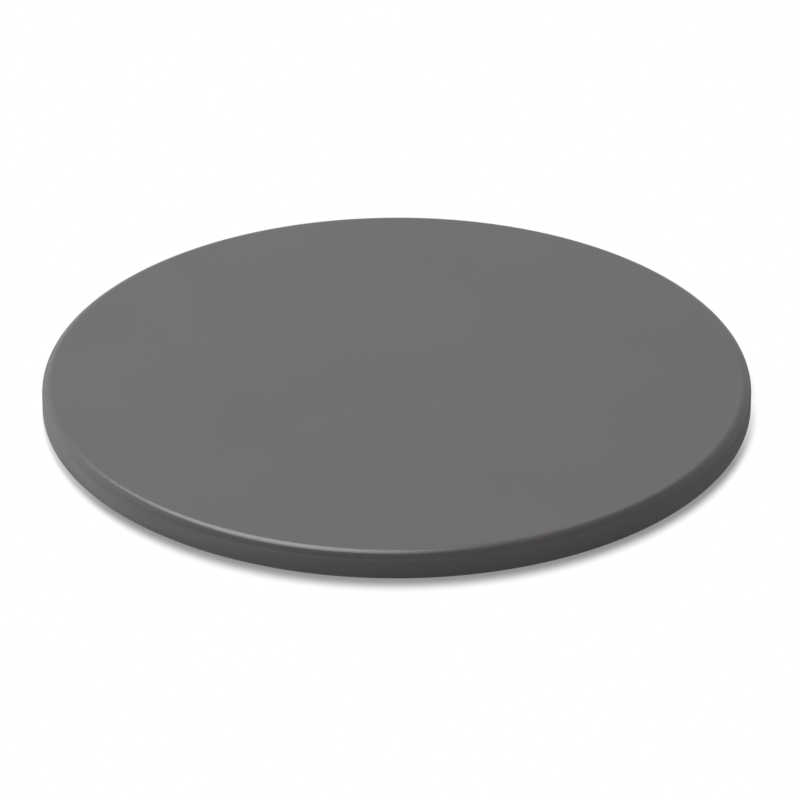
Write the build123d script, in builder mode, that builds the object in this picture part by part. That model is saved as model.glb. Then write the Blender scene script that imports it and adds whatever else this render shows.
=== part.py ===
from build123d import *
import os

# Round glazed pizza stone: a pressed and fired cordierite disc under a thin coat of satin
# glaze. The glaze covers the top, the rim and the rounded lower edge. The underside is
# bare stone, and its middle stands a little lower as the dry foot that the disc rests on.
# Millimetres, +Z up, origin at the centre of the foot's flat face.

# Finished stone, measured over the glaze
stone_diameter = 360.0
stone_thickness = 15.0
top_edge_radius = 5.0
lower_edge_radius = 2.0

# Glaze
glaze_thickness = 0.3
glaze_lip_radius = 0.2

# Bare underside
foot_height = 0.6
foot_chamfer = 0.25
glazed_margin_width = 7.0
wiped_band_width = 1.2

stone_radius = stone_diameter / 2
body_radius = stone_radius - glaze_thickness
body_top = stone_thickness - glaze_thickness
glaze_end_radius = stone_radius - glazed_margin_width
foot_radius = glaze_end_radius - wiped_band_width
glaze_bottom = foot_height - glaze_thickness

# Cordierite body: the disc is rounded so that the coat over it keeps one thickness
with BuildPart() as stone_body:
    with BuildSketch(Plane.XY.offset(foot_height)):
        Circle(body_radius)
    extrude(amount=body_top - foot_height)
    rims = stone_body.edges().filter_by(GeomType.CIRCLE).sort_by(Axis.Z)
    fillet(rims[-1], top_edge_radius - glaze_thickness)
    fillet(rims[0], lower_edge_radius - glaze_thickness)

    with BuildSketch():
        Circle(foot_radius)
    extrude(amount=foot_height)
    foot_rim = stone_body.edges().filter_by(GeomType.CIRCLE).sort_by(Axis.Z)[0]
    chamfer(foot_rim, foot_chamfer)

# Glaze coat: the finished outline less the body, ended short of the foot by a wiped band
with BuildPart() as glaze_coat:
    with BuildSketch(Plane.XY.offset(glaze_bottom)):
        Circle(stone_radius)
    extrude(amount=stone_thickness - glaze_bottom)
    rims = glaze_coat.edges().filter_by(GeomType.CIRCLE).sort_by(Axis.Z)
    fillet(rims[-1], top_edge_radius)
    fillet(rims[0], lower_edge_radius)

    with BuildSketch(Plane.XY.offset(glaze_bottom)):
        Circle(glaze_end_radius)
    extrude(amount=glaze_thickness, mode=Mode.SUBTRACT)
    glaze_lip = glaze_coat.edges().filter_by(GeomType.CIRCLE).group_by(Axis.Z)[0].sort_by(SortBy.RADIUS)[0]
    fillet(glaze_lip, glaze_lip_radius)
    add(stone_body.part, mode=Mode.SUBTRACT)

stone_body.part.label = "stone_body"
glaze_coat.part.label = "glaze_coat"

os.makedirs("parts", exist_ok=True)
export_step(stone_body.part, "parts/stone_body.step")
export_step(glaze_coat.part, "parts/glaze_coat.step")
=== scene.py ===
import bmesh
import bpy
import math
from mathutils import Matrix, Vector


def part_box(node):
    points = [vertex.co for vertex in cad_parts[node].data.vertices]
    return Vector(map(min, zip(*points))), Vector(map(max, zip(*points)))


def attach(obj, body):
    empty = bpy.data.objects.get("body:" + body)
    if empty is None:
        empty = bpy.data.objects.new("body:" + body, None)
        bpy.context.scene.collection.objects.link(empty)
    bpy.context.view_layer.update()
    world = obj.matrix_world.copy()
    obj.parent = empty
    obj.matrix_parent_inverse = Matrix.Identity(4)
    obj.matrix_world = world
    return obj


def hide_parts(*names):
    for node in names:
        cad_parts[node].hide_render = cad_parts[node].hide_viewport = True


# Round glazed pizza stone: a fired cordierite disc under a coat of satin dark grey glaze.
# Metres, +Z up, origin at the centre of the bare foot.

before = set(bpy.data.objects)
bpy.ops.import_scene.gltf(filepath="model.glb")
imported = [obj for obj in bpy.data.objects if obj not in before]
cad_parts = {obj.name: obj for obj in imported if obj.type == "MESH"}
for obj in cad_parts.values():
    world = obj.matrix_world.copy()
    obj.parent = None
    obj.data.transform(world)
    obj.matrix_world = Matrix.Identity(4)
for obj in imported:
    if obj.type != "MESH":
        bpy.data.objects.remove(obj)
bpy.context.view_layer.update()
coatLow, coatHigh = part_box("glaze_coat")
stoneLow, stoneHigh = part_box("stone_body")
print("frame loaded:", sorted(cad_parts))

mm = 0.001
coatThickness = coatHigh.z - stoneHigh.z
coatRadius = min(coatHigh.x, coatHigh.y, -coatLow.x, -coatLow.y)
touching = 0.02 * mm  # how near a point must be to a named place to count as on it
smoothAngle = 40      # degrees, an edge sharper than this stays sharp


def deselectAll():
    if bpy.context.mode != "OBJECT":
        bpy.ops.object.mode_set(mode="OBJECT")
    bpy.ops.object.select_all(action="DESELECT")


def editMode(piece, kind):
    deselectAll()
    piece.select_set(True)
    bpy.context.view_layer.objects.active = piece
    bpy.ops.object.mode_set(mode="EDIT")
    bpy.ops.mesh.select_mode(type=kind)


def pick(piece, kind, test):
    # in edit mode, selects the faces or edges whose every corner passes the test
    bpy.ops.mesh.select_all(action="DESELECT")
    mesh = bmesh.from_edit_mesh(piece.data)
    for part in (mesh.faces if kind == "FACE" else mesh.edges):
        if all(test(corner.co) for corner in part.verts):
            part.select_set(True)
    mesh.select_flush_mode()
    bmesh.update_edit_mesh(piece.data)


def across(point):
    return math.hypot(point.x, point.y)


def pickFlat(piece, height, radius):
    # the flat faces at that height, out to the radius
    pick(piece, "FACE",
         lambda co: abs(co.z - height) < touching and across(co) < radius + touching)


def pickRing(piece, height, radius):
    # the ring of edges at that height and radius
    pick(piece, "EDGE",
         lambda co: abs(co.z - height) < touching and abs(across(co) - radius) < touching)


def roundedDisc(name, radius, low, high, topEdge, lowerEdge, sides, topSteps, lowerSteps):
    # a plain disc with both rims rounded, as it leaves the press
    deselectAll()
    bpy.ops.mesh.primitive_cylinder_add(
        vertices=sides, radius=radius, depth=high - low, location=(0, 0, (low + high) / 2))
    disc = bpy.context.active_object
    disc.name = name
    bpy.ops.object.transform_apply(location=True, rotation=True, scale=True)
    editMode(disc, "EDGE")
    for height, edge, steps in ((high, topEdge, topSteps), (low, lowerEdge, lowerSteps)):
        pick(disc, "EDGE", lambda co: abs(co.z - height) < touching)
        bpy.ops.mesh.bevel(offset=edge, segments=steps, affect="EDGES")
    return disc


def insetTo(disc, height, fromRadius, toRadius):
    # one more ring on the flat face at that height
    pickFlat(disc, height, fromRadius)
    bpy.ops.mesh.inset(thickness=fromRadius - toRadius, depth=0, use_even_offset=True)


def gridMiddle(disc, height, radius, sides):
    # the last flat face becomes an even patch of quads
    pickFlat(disc, height, radius)
    bpy.ops.mesh.delete(type="ONLY_FACE")
    pickRing(disc, height, radius)
    bpy.ops.mesh.fill_grid(span=sides // 4, offset=0, use_interp_simple=True)


def finishPiece(piece, node, material):
    deselectAll()
    piece.select_set(True)
    bpy.context.view_layer.objects.active = piece
    bpy.ops.object.shade_smooth_by_angle(angle=math.radians(smoothAngle))
    piece.data.materials.clear()
    piece.data.materials.append(material)
    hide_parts(node)
    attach(piece, "root")
    print(piece.name, "made,", len(piece.data.polygons), "faces")


def toLinear(hexColour):
    # sRGB hex to linear RGBA
    channels = [int(hexColour[i:i + 2], 16) / 255 for i in (1, 3, 5)]
    return [c / 12.92 if c <= 0.04045 else ((c + 0.055) / 1.055) ** 2.4
            for c in channels] + [1.0]


def addNode(owner, kind, inputs=None, **properties):
    # inputs, by name or number: an output socket is linked, anything else is set
    tree = owner.node_tree
    node = tree.nodes.new(kind)
    for key, value in properties.items():
        setattr(node, key, value)
    for key, value in (inputs or {}).items():
        if isinstance(value, bpy.types.NodeSocket):
            tree.links.new(value, node.inputs[key])
        else:
            node.inputs[key].default_value = value
    return node


def newMaterial(name):
    material = bpy.data.materials.new(name)
    material.use_nodes = True
    material.node_tree.nodes.clear()
    return material


noiseSumLow, noiseSumHigh = 0.7, 1.3  # between these lies most of the sum of two noises


def roundSpots(material, place, spacing, size, most, softEdge):
    # one round spot in each cell, fading between two shares of its radius
    cells = addNode(material, "ShaderNodeTexVoronoi",
                    {"Vector": place, "Scale": 1 / (spacing * mm)})
    edge = size / 2 / spacing
    spots = addNode(material, "ShaderNodeMapRange",
                    {"Value": cells.outputs["Distance"],
                     "From Min": edge * softEdge[0], "From Max": edge * softEdge[1],
                     "To Min": most, "To Max": 0.0},
                    interpolation_type="SMOOTHSTEP")
    return spots.outputs[0]


# Satin glaze: feldspar glaze coloured dark grey, sprayed on the pressed stone and fired. It is
# a glass skin full of crystals too fine to see, so it gives a soft broad shine on a very
# even colour, with faint specks, a few pinholes and a slow ripple only seen from near by.
satinGlaze = {
    "pale": "#595556",
    "deep": "#545152",
    # near-black painted shade inside each pinhole, laid over its real dent
    "pinholeShade": "#242223",
    "roughness": 0.329,
    "roughnessChange": 0.015,
    "ior": 1.6,              # glass heavy with crystals
    "cloudSize": 60,         # mm across, where the coat lies a little thicker or thinner
    "cloudDetail": 2.0,
    "cloudBreak": 0.45,      # the higher, the more broken up
    "speckSize": 0.9,        # mm, clots of crystals
    "speckDetail": 2.0,
    "speckBreak": 0.5,
    "rippleSize": 4.0,       # mm from crest to crest, left as the glaze melts level
    "rippleDetail": 1.0,
    "rippleBreak": 0.4,
    "rippleHeight": 0.004,   # mm
    "pinholeSpacing": 11.0,  # mm
    "pinholeSize": 0.35,     # mm across, where gas left the melt
    "pinholeShare": 1.0,     # how far the painted shade covers the glaze's colour
    "pinholeEdge": (0.4, 1.2),
    "pinholeDepth": 0.03,    # mm
}


def makeGlaze():
    g = satinGlaze
    material = newMaterial("satin_dark_grey_glaze")
    place = addNode(material, "ShaderNodeTexCoord").outputs["Object"]
    clouds, specks, ripple = [
        addNode(material, "ShaderNodeTexNoise",
                {"Vector": place, "Scale": 1 / (g[kind + "Size"] * mm),
                 "Detail": g[kind + "Detail"], "Roughness": g[kind + "Break"]}).outputs["Fac"]
        for kind in ("cloud", "speck", "ripple")]
    both = addNode(material, "ShaderNodeMath", {0: clouds, 1: specks}, operation="ADD")
    spread = addNode(material, "ShaderNodeMapRange",
                     {"Value": both.outputs[0],
                      "From Min": noiseSumLow, "From Max": noiseSumHigh})
    tone = addNode(material, "ShaderNodeMix",
                   {"Factor": spread.outputs[0], "A": toLinear(g["deep"]),
                    "B": toLinear(g["pale"])}, data_type="RGBA")
    pinholes = roundSpots(material, place, g["pinholeSpacing"], g["pinholeSize"],
                          g["pinholeShare"], g["pinholeEdge"])
    # the pinholes are painted dark: painted shade in them, beside the real dent below
    colour = addNode(material, "ShaderNodeMix",
                     {"Factor": pinholes, "A": tone.outputs["Result"],
                      "B": toLinear(g["pinholeShade"])}, data_type="RGBA")
    gloss = addNode(material, "ShaderNodeMapRange",
                    {"Value": both.outputs[0],
                     "From Min": noiseSumLow, "From Max": noiseSumHigh,
                     "To Min": g["roughness"] - g["roughnessChange"],
                     "To Max": g["roughness"] + g["roughnessChange"]})
    waves = addNode(material, "ShaderNodeBump",
                    {"Height": ripple, "Strength": 1.0, "Distance": g["rippleHeight"] * mm})
    relief = addNode(material, "ShaderNodeBump",
                     {"Height": pinholes, "Normal": waves.outputs[0], "Strength": 1.0,
                      "Distance": g["pinholeDepth"] * mm}, invert=True)
    shader = addNode(material, "ShaderNodeBsdfPrincipled",
                     {"Base Color": colour.outputs["Result"], "Roughness": gloss.outputs[0],
                      "Normal": relief.outputs[0], "IOR": g["ior"]})
    addNode(material, "ShaderNodeOutputMaterial", {"Surface": shader.outputs[0]})
    return material


# Fired cordierite: a sandy buff clay body with grog, pressed and fired. Bare of glaze it is
# dry and matt, with open pores and small iron specks. Beside the glaze the kiln toasts it
# darker, and a thin grey film is left where wet glaze was wiped off.
bareCordierite = {
    "pale": "#cfbb9d",
    "deep": "#bca687",
    "roughness": 0.93,
    "ior": 1.5,
    "noiseBreak": 0.6,      # the higher, the more broken up are all its noises
    "cloudSize": 35,        # mm across
    "cloudDetail": 3.0,
    "grainSize": 0.9,       # mm, sand in the body
    "grainDetail": 4.0,
    "grainHeight": 0.05,    # mm
    "grog": "#dccdb4",
    "grogSpacing": 2.6,     # mm between grains
    "grogSize": 0.9,        # mm across
    "grogShare": 0.6,       # how far it covers the clay's colour
    "iron": "#5f4731",
    "ironSpacing": 6.0,
    "ironSize": 0.6,
    "ironShare": 0.85,
    # painted shade: the pores' darker colour stands for the shade inside them
    "pore": "#8a7456",
    "poreSpacing": 1.9,
    "poreSize": 0.4,
    "poreShare": 1.0,
    "poreDepth": 0.12,      # mm
    "spotEdge": (0.6, 1.3),
    "flash": "#a57f56",
    "flashWidth": 16.0,     # mm in from the glaze
    "flashWander": 5.0,     # mm that its edge strays
    "flashShare": 0.6,
    "film": "#86807a",
    "filmWidth": 1.0,
    "filmWander": 0.8,
    "filmShare": 0.7,
    "wanderSize": 20,       # mm from one stray to the next
    "wanderDetail": 2.0,
}


def besideGlaze(material, place, width, wander, most):
    # 0 further in than the width, rising to the most at the glaze's end
    c = bareCordierite
    flat = addNode(material, "ShaderNodeVectorMath", {0: place, 1: (1, 1, 0)},
                   operation="MULTIPLY")
    fromMiddle = addNode(material, "ShaderNodeVectorMath", {0: flat.outputs[0]},
                         operation="LENGTH")
    waves = addNode(material, "ShaderNodeTexNoise",
                    {"Vector": place, "Scale": 1 / (c["wanderSize"] * mm),
                     "Detail": c["wanderDetail"], "Roughness": c["noiseBreak"]})
    stray = addNode(material, "ShaderNodeMath",
                    {0: waves.outputs["Fac"], 1: wander * mm, 2: fromMiddle.outputs["Value"]},
                    operation="MULTIPLY_ADD")
    glazeEnd = coatRadius - coat["margin"] * mm + wander / 2 * mm
    band = addNode(material, "ShaderNodeMapRange",
                   {"Value": stray.outputs[0],
                    "From Min": glazeEnd - width * mm, "From Max": glazeEnd,
                    "To Min": 0.0, "To Max": most}, interpolation_type="SMOOTHSTEP")
    return band.outputs[0]


def makeCordierite():
    c = bareCordierite
    material = newMaterial("fired_cordierite")
    place = addNode(material, "ShaderNodeTexCoord").outputs["Object"]
    clouds, grains = [
        addNode(material, "ShaderNodeTexNoise",
                {"Vector": place, "Scale": 1 / (c[kind + "Size"] * mm),
                 "Detail": c[kind + "Detail"], "Roughness": c["noiseBreak"]}).outputs["Fac"]
        for kind in ("cloud", "grain")]
    both = addNode(material, "ShaderNodeMath", {0: clouds, 1: grains}, operation="ADD")
    spread = addNode(material, "ShaderNodeMapRange",
                     {"Value": both.outputs[0],
                      "From Min": noiseSumLow, "From Max": noiseSumHigh})
    clay = addNode(material, "ShaderNodeMix",
                   {"Factor": spread.outputs[0], "A": toLinear(c["deep"]),
                    "B": toLinear(c["pale"])}, data_type="RGBA")
    masks = {kind: roundSpots(material, place, c[kind + "Spacing"], c[kind + "Size"],
                              c[kind + "Share"], c["spotEdge"])
             for kind in ("grog", "iron", "pore")}
    for kind in ("flash", "film"):
        masks[kind] = besideGlaze(material, place, c[kind + "Width"], c[kind + "Wander"],
                                  c[kind + "Share"])
    # each mark is laid over the clay; the pores' darker colour is painted shade, the other
    # marks are the body's own colour
    colour = clay.outputs["Result"]
    for kind, mask in masks.items():
        colour = addNode(material, "ShaderNodeMix",
                         {"Factor": mask, "A": colour, "B": toLinear(c[kind])},
                         data_type="RGBA").outputs["Result"]
    grit = addNode(material, "ShaderNodeBump",
                   {"Height": grains, "Strength": 1.0, "Distance": c["grainHeight"] * mm})
    relief = addNode(material, "ShaderNodeBump",
                     {"Height": masks["pore"], "Normal": grit.outputs[0], "Strength": 1.0,
                      "Distance": c["poreDepth"] * mm}, invert=True)
    shader = addNode(material, "ShaderNodeBsdfPrincipled",
                     {"Base Color": colour, "Normal": relief.outputs[0],
                      "Roughness": c["roughness"], "IOR": c["ior"]})
    addNode(material, "ShaderNodeOutputMaterial", {"Surface": shader.outputs[0]})
    return material


# Coat of glaze over the top, the rim and the lower edge
coat = {
    "name": "glaze_skin",
    "topEdge": 5.0,      # mm, finished radius of the top edge
    "lowerEdge": 2.0,
    "margin": 7.0,       # mm, width of the glazed band underneath
    "lipEdge": 0.2,      # mm, how far the coat's end is rounded
    "sides": 384,
    "topSteps": 18,
    "lowerSteps": 8,
    "lipSteps": 4,
    "supportRing": 0.5,  # mm, a flat ring inside the top edge, for smooth shading
    "lipWander": 0.7,    # mm, how far apart the wiped edge strays in and out
    "lipWaves": 22.0,    # mm along the edge
    "lipBand": 1.75,     # mm of the coat beside the lip that strays with it
}


def makeCoat(material):
    radius, low, high = coatRadius, coatLow.z, coatHigh.z
    topEdge, lowerEdge = coat["topEdge"] * mm, coat["lowerEdge"] * mm
    disc = roundedDisc(coat["name"], radius, low, high, topEdge, lowerEdge,
                       coat["sides"], coat["topSteps"], coat["lowerSteps"])
    bpy.ops.mesh.select_mode(type="FACE")
    flat = radius - topEdge
    insetTo(disc, high, flat, flat - coat["supportRing"] * mm)
    gridMiddle(disc, high, flat - coat["supportRing"] * mm, coat["sides"])
    lip = radius - coat["margin"] * mm
    insetTo(disc, low, radius - lowerEdge, lip)
    pickFlat(disc, low, lip)
    bpy.ops.mesh.delete(type="FACE")
    bpy.ops.object.mode_set(mode="OBJECT")
    wall = disc.modifiers.new("wall", "SOLIDIFY")
    wall.thickness = coatThickness
    wall.offset = -1
    wall.use_even_offset = True
    bpy.ops.object.modifier_apply(modifier=wall.name)
    editMode(disc, "EDGE")
    pickRing(disc, low, lip)
    bpy.ops.mesh.bevel(offset=coat["lipEdge"] * mm, segments=coat["lipSteps"], affect="EDGES")
    pick(disc, "EDGE", lambda co: co.z < low + coatThickness + touching
         and across(co) < lip + coat["lipBand"] * mm)
    bpy.ops.object.vertex_group_assign_new()
    bpy.ops.object.mode_set(mode="OBJECT")
    disc.vertex_groups[0].name = "lip"
    for axis, depth in (("X", 1), ("Y", 2)):  # two depths, so that the two ways differ
        waves = bpy.data.textures.new("lip_waves_" + axis, "CLOUDS")
        waves.noise_scale = coat["lipWaves"] * mm
        waves.noise_depth = depth
        wander = disc.modifiers.new("wander_" + axis, "DISPLACE")
        wander.texture = waves
        wander.texture_coords = "LOCAL"
        wander.direction = axis
        wander.vertex_group = "lip"
        wander.strength = coat["lipWander"] * mm
        bpy.ops.object.modifier_apply(modifier=wander.name)
    disc.vertex_groups.clear()
    finishPiece(disc, "glaze_coat", material)


# Cordierite disc inside the coat, with its dry foot
body = {
    "name": "cordierite_disc",
    "footDrop": 0.6,     # mm that the foot stands below the glazed margin
    "footEdge": 0.25,    # mm, how far its edge is rounded
    "wipedBand": 1.2,    # mm, bare band between the glaze's end and the foot
    "sides": 384,
    "topSteps": 12,
    "lowerSteps": 6,
    "footSteps": 2,
    "supportRing": 1.0,  # mm, a flat ring inside the foot's edge, for smooth shading
}


def makeBody(material):
    radius, high = coatRadius - coatThickness, stoneHigh.z
    low, margin = stoneLow.z, stoneLow.z + body["footDrop"] * mm
    topEdge = coat["topEdge"] * mm - coatThickness
    lowerEdge = coat["lowerEdge"] * mm - coatThickness
    disc = roundedDisc(body["name"], radius, margin, high, topEdge, lowerEdge,
                       body["sides"], body["topSteps"], body["lowerSteps"])
    bpy.ops.mesh.select_mode(type="FACE")
    gridMiddle(disc, high, radius - topEdge, body["sides"])
    foot = coatRadius - (coat["margin"] + body["wipedBand"]) * mm
    insetTo(disc, margin, radius - lowerEdge, foot)
    pickFlat(disc, margin, foot)
    bpy.ops.mesh.extrude_region_move(TRANSFORM_OT_translate={"value": (0, 0, low - margin)})
    bpy.ops.mesh.select_mode(type="EDGE")
    pickRing(disc, low, foot)
    bpy.ops.mesh.bevel(offset=body["footEdge"] * mm, segments=body["footSteps"],
                       affect="EDGES")
    bpy.ops.mesh.select_mode(type="FACE")
    sole = foot - body["footEdge"] * mm
    insetTo(disc, low, sole, sole - body["supportRing"] * mm)
    gridMiddle(disc, low, sole - body["supportRing"] * mm, body["sides"])
    bpy.ops.object.mode_set(mode="OBJECT")
    finishPiece(disc, "stone_body", material)


makeCoat(makeGlaze())
makeBody(makeCordierite())

# Pale studio floor. It is plain white, and close round the stone it goes over to a dark grey:
# painted shadow drawn by place, which also takes the real shadow. It is broad in front of the
# stone and behind it and narrow at its two sides, shaped as a lamp long from front to back
# would cast it. The stone's own sheen shows that grey broader, a painted reflection that
# darkens its wall.
floor = {
    "size": 40.0,             # m, so that a low view doesn't see its end
    "white": "#ffffff",
    "shade": "#595959",       # the painted shadow's grey against the stone
    "bounce": "#d0d0d0",      # what it gives back on the stone
    "shadowFront": 12.4,      # painted shadow, mm from the rim to plain white, in front and behind
    "shadowLeft": 0.3,        # the same at the two sides
    "shadowRight": 4.2,
    "shadowTurn": 1.45,       # the higher, the sooner it narrows towards the sides
    "contactFront": 0.29,     # share of the white that the painted shadow leaves against the stone
    "contactSide": 0.90,      # the same at the two sides
    "contactTurnLeft": 0.64,  # how far round from the side it keeps changing, 1 is the front
    "contactTurnRight": 0.35,
    "glossBroad": 220.0,      # mm from the rim to plain white, in the painted reflection on the stone's sheen
    "glossNarrow": 2.0,       # the same at the front left
    "glossTowards": (-0.80, -0.60, 0),
    "glossFrom": 118.0,       # mm along that line, where it starts to narrow
    "glossTo": 183.0,         # and where it is all narrow
    "glossContact": 0.325,    # share of the white that the painted reflection shows against the stone
    "glossContactTo": 0.6,    # the same at the front left
    "glossContactRight": 0.2,
    "glossRightFrom": 150.0,  # mm to the right, where the share starts to fall to that
}


def makeFloor():
    f = floor
    deselectAll()
    bpy.ops.mesh.primitive_plane_add(size=f["size"], location=(0, 0, 0))
    plane = bpy.context.active_object
    plane.name = "studio_floor"
    material = newMaterial("white_floor_painted_shadow")
    place = addNode(material, "ShaderNodeTexCoord").outputs["Object"]
    axes = addNode(material, "ShaderNodeSeparateXYZ", {0: place}).outputs
    rays = addNode(material, "ShaderNodeLightPath").outputs
    fromMiddle = addNode(material, "ShaderNodeVectorMath", {0: place},
                         operation="LENGTH").outputs["Value"]
    beyondRim = addNode(material, "ShaderNodeMath", {0: fromMiddle, 1: coatRadius},
                        operation="SUBTRACT")

    # the painted shadow as the camera sees it; frontness is 0 at the sides, 1 in front and
    # behind
    depth = addNode(material, "ShaderNodeMath", {0: axes["Y"]}, operation="ABSOLUTE")
    frontness = addNode(material, "ShaderNodeMath", {0: depth.outputs[0], 1: fromMiddle},
                        operation="DIVIDE").outputs[0]
    turned = addNode(material, "ShaderNodeMath", {0: frontness, 1: f["shadowTurn"]},
                     operation="POWER")
    sideWidth = addNode(material, "ShaderNodeMapRange",
                        {"Value": axes["X"], "From Min": -coatRadius, "From Max": coatRadius,
                         "To Min": f["shadowLeft"] * mm, "To Max": f["shadowRight"] * mm})
    seenWidth = addNode(material, "ShaderNodeMapRange",
                        {"Value": turned.outputs[0], "To Min": sideWidth.outputs[0],
                         "To Max": f["shadowFront"] * mm})
    contactTurn = addNode(material, "ShaderNodeMapRange",
                          {"Value": axes["X"], "From Min": -coatRadius, "From Max": coatRadius,
                           "To Min": f["contactTurnLeft"], "To Max": f["contactTurnRight"]})
    seenContact = addNode(material, "ShaderNodeMapRange",
                          {"Value": frontness, "From Max": contactTurn.outputs[0],
                           "To Min": f["contactSide"], "To Max": f["contactFront"]})

    # the painted shadow as the stone's sheen shows it, a painted reflection on its wall
    towards = addNode(material, "ShaderNodeVectorMath", {0: place, 1: f["glossTowards"]},
                      operation="DOT_PRODUCT").outputs["Value"]
    glossWidth = addNode(material, "ShaderNodeMapRange",
                         {"Value": towards,
                          "From Min": f["glossFrom"] * mm, "From Max": f["glossTo"] * mm,
                          "To Min": f["glossBroad"] * mm, "To Max": f["glossNarrow"] * mm})
    rightContact = addNode(material, "ShaderNodeMapRange",
                           {"Value": axes["X"],
                            "From Min": f["glossRightFrom"] * mm, "From Max": coatRadius,
                            "To Min": f["glossContact"], "To Max": f["glossContactRight"]})
    glossContact = addNode(material, "ShaderNodeMapRange",
                           {"Value": towards,
                            "From Min": f["glossFrom"] * mm, "From Max": f["glossTo"] * mm,
                            "To Min": rightContact.outputs[0], "To Max": f["glossContactTo"]})

    # from the share against the stone to plain white
    width = addNode(material, "ShaderNodeMapRange",
                    {"Value": rays["Is Glossy Ray"], "To Min": seenWidth.outputs[0],
                     "To Max": glossWidth.outputs[0]})
    contact = addNode(material, "ShaderNodeMapRange",
                      {"Value": rays["Is Glossy Ray"], "To Min": seenContact.outputs[0],
                       "To Max": glossContact.outputs[0]})
    reach = addNode(material, "ShaderNodeMath",
                    {0: beyondRim.outputs[0], 1: width.outputs[0]}, operation="DIVIDE")
    fade = addNode(material, "ShaderNodeMapRange",
                   {"Value": reach.outputs[0], "To Min": contact.outputs[0]},
                   interpolation_type="SMOOTHSTEP")
    shade = addNode(material, "ShaderNodeBsdfDiffuse", {"Color": toLinear(f["shade"])})
    white = addNode(material, "ShaderNodeEmission",
                    {"Color": toLinear(f["white"]), "Strength": 1.0})
    seen = addNode(material, "ShaderNodeMixShader",
                   {0: fade.outputs[0], 1: shade.outputs[0], 2: white.outputs[0]})

    # camera, gloss and transmission rays see that, all others get the bounce
    bounce = addNode(material, "ShaderNodeBsdfDiffuse", {"Color": toLinear(f["bounce"])})
    direct = addNode(material, "ShaderNodeMath",
                     {0: rays["Is Camera Ray"], 1: rays["Is Glossy Ray"]}, operation="MAXIMUM")
    either = addNode(material, "ShaderNodeMath",
                     {0: direct.outputs[0], 1: rays["Is Transmission Ray"]},
                     operation="MAXIMUM")
    surface = addNode(material, "ShaderNodeMixShader",
                      {0: either.outputs[0], 1: bounce.outputs[0], 2: seen.outputs[0]})
    addNode(material, "ShaderNodeOutputMaterial", {"Surface": surface.outputs[0]})
    plane.data.materials.append(material)


makeFloor()
print("floor made")

# Soft studio light: one long softbox overhead, a little to the back left, in a room with a
# dark ceiling and white walls that are brightest behind the stone and on its left, where a
# broad dim panel adds to them.
softbox = {
    "towards": (-0.273, 0.178, 0.945),
    "turn": 5.3,         # degrees
    "distance": 3.0,     # m
    "across": 0.600,     # m across for each metre of distance
    "along": 0.93,       # the same from front to back
    "radiance": 5.6,     # 1 is the white of the floor
}
room = {
    "colour": "#ffffff",
    "front": 0.26,       # strength of the wall behind the camera
    "back": 0.59,        # what the wall behind the stone has besides
    "left": 1.15,        # share of it towards the left
    "right": 0.38,       # and towards the right
    "leftFrom": -0.35,   # where those shares are reached, straight left is -1
    "rightTo": 0.55,
    "ceiling": 0.015,
    "wallTop": 37.5,     # degrees up, as seen from the stone
    "ceilingFrom": 43.5,
    "panel": 0.45,       # strength of the panel
    "panelTowards": (-0.871, 0.317, 0.375),
    "panelInner": 12.0,  # degrees from its middle to where it starts to fade
    "panelOuter": 38.0,  # and to where it ends
}


def makeSoftbox():
    b = softbox
    deselectAll()
    back = Vector(b["towards"]).normalized()
    side = Vector((0, 1, 0)).cross(back).normalized()
    bpy.ops.object.light_add(type="AREA", location=back * b["distance"])
    light = bpy.context.active_object
    light.name = "softbox_lamp"
    facing = Matrix((side, back.cross(side), back)).transposed()
    turned = facing @ Matrix.Rotation(math.radians(b["turn"]), 3, "Z")
    light.rotation_euler = turned.to_euler()
    light.data.shape = "RECTANGLE"
    light.data.size = b["across"] * b["distance"]
    light.data.size_y = b["along"] * b["distance"]
    # the watts that give a lamp of this area that radiance
    light.data.energy = b["radiance"] * math.pi * light.data.size * light.data.size_y


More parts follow.
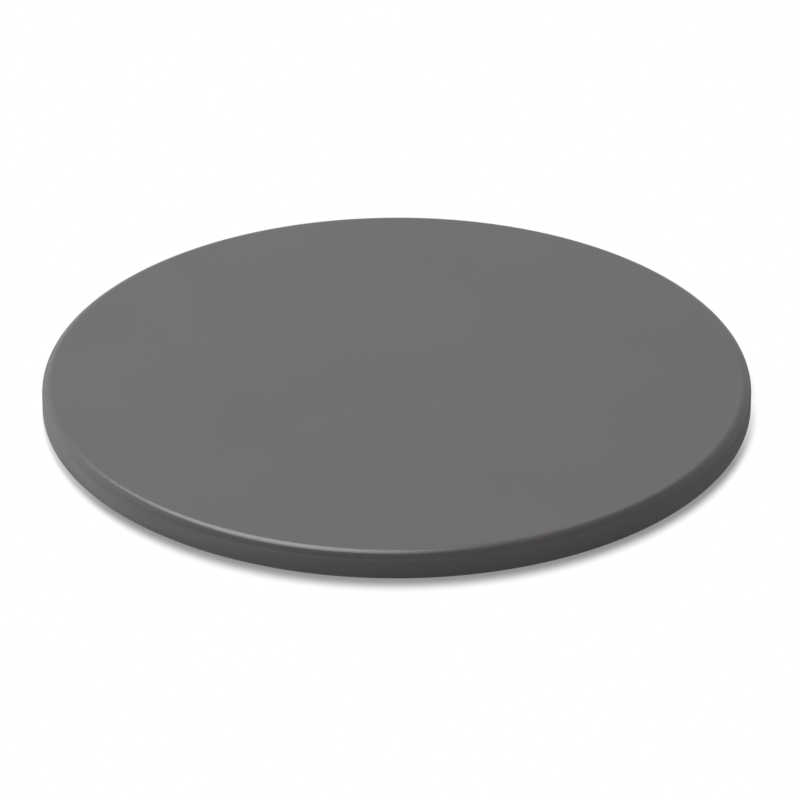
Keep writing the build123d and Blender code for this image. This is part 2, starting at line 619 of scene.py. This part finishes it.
def makeRoom():
    r = room
    world = bpy.data.worlds.new("studio_room")
    bpy.context.scene.world = world
    world.use_nodes = True
    place = addNode(world, "ShaderNodeTexCoord").outputs["Generated"]
    axes = addNode(world, "ShaderNodeSeparateXYZ", {0: place}).outputs
    behind = addNode(world, "ShaderNodeMapRange",
                     {"Value": axes["Y"], "From Min": -1.0, "From Max": 1.0,
                      "To Min": 0.0, "To Max": r["back"]})
    side = addNode(world, "ShaderNodeMapRange",
                   {"Value": axes["X"], "From Min": r["leftFrom"], "From Max": r["rightTo"],
                    "To Min": r["left"], "To Max": r["right"]})
    walls = addNode(world, "ShaderNodeMath",
                    {0: behind.outputs[0], 1: side.outputs[0], 2: r["front"]},
                    operation="MULTIPLY_ADD")
    below = addNode(world, "ShaderNodeMapRange",
                    {"Value": axes["Z"], "From Min": math.sin(math.radians(r["wallTop"])),
                     "From Max": math.sin(math.radians(r["ceilingFrom"])),
                     "To Min": 1.0, "To Max": 0.0}, interpolation_type="SMOOTHSTEP")
    nearPanel = addNode(world, "ShaderNodeVectorMath", {0: place, 1: r["panelTowards"]},
                        operation="DOT_PRODUCT")
    panel = addNode(world, "ShaderNodeMapRange",
                    {"Value": nearPanel.outputs["Value"],
                     "From Min": math.cos(math.radians(r["panelOuter"])),
                     "From Max": math.cos(math.radians(r["panelInner"])),
                     "To Min": r["ceiling"], "To Max": r["ceiling"] + r["panel"]},
                    interpolation_type="SMOOTHSTEP")
    strength = addNode(world, "ShaderNodeMath",
                       {0: walls.outputs[0], 1: below.outputs[0], 2: panel.outputs[0]},
                       operation="MULTIPLY_ADD")
    background = world.node_tree.nodes["Background"]
    background.inputs["Color"].default_value = toLinear(r["colour"])
    world.node_tree.links.new(strength.outputs[0], background.inputs["Strength"])


makeSoftbox()
makeRoom()
print("light made")

# Camera: long lens, about 29 degrees above the table
camera = {
    "distance": 3.60,               # m
    "elevation": 28.66,             # degrees
    "roll": 0.087,                  # degrees, how far the picture turns to the left
    "focalPixels": 7084,
    "imagePixels": 800,
    "sensor": 36.0,                 # mm
    "clipEnd": 100.0,               # m
    "centrePixel": (396.7, 389.3),  # where the middle of the stone falls
}


def makeCamera():
    c = camera
    deselectAll()
    elevation = math.radians(c["elevation"])
    middle = Vector((0, 0, (coatLow.z + coatHigh.z) / 2))
    back = Vector((0, -math.cos(elevation), math.sin(elevation)))
    right = Vector((1, 0, 0))
    up = back.cross(right)
    pixel = c["distance"] / c["focalPixels"]  # metres at the stone
    half = c["imagePixels"] / 2
    aim = (middle + right * (half - c["centrePixel"][0]) * pixel
           - up * (half - c["centrePixel"][1]) * pixel)
    place = middle + back * c["distance"]
    bpy.ops.object.camera_add(location=place)
    view = bpy.context.active_object
    view.name = "photo_camera"
    facing = (place - aim).to_track_quat("Z", "Y").to_matrix()
    turned = facing @ Matrix.Rotation(-math.radians(c["roll"]), 3, "Z")
    view.rotation_euler = turned.to_euler()
    view.data.sensor_width = c["sensor"]
    view.data.lens = c["focalPixels"] / c["imagePixels"] * c["sensor"]
    view.data.clip_end = c["clipEnd"]
    bpy.context.scene.camera = view


makeCamera()
bpy.context.scene.view_settings.view_transform = "Standard"
print("camera made")

deselectAll()
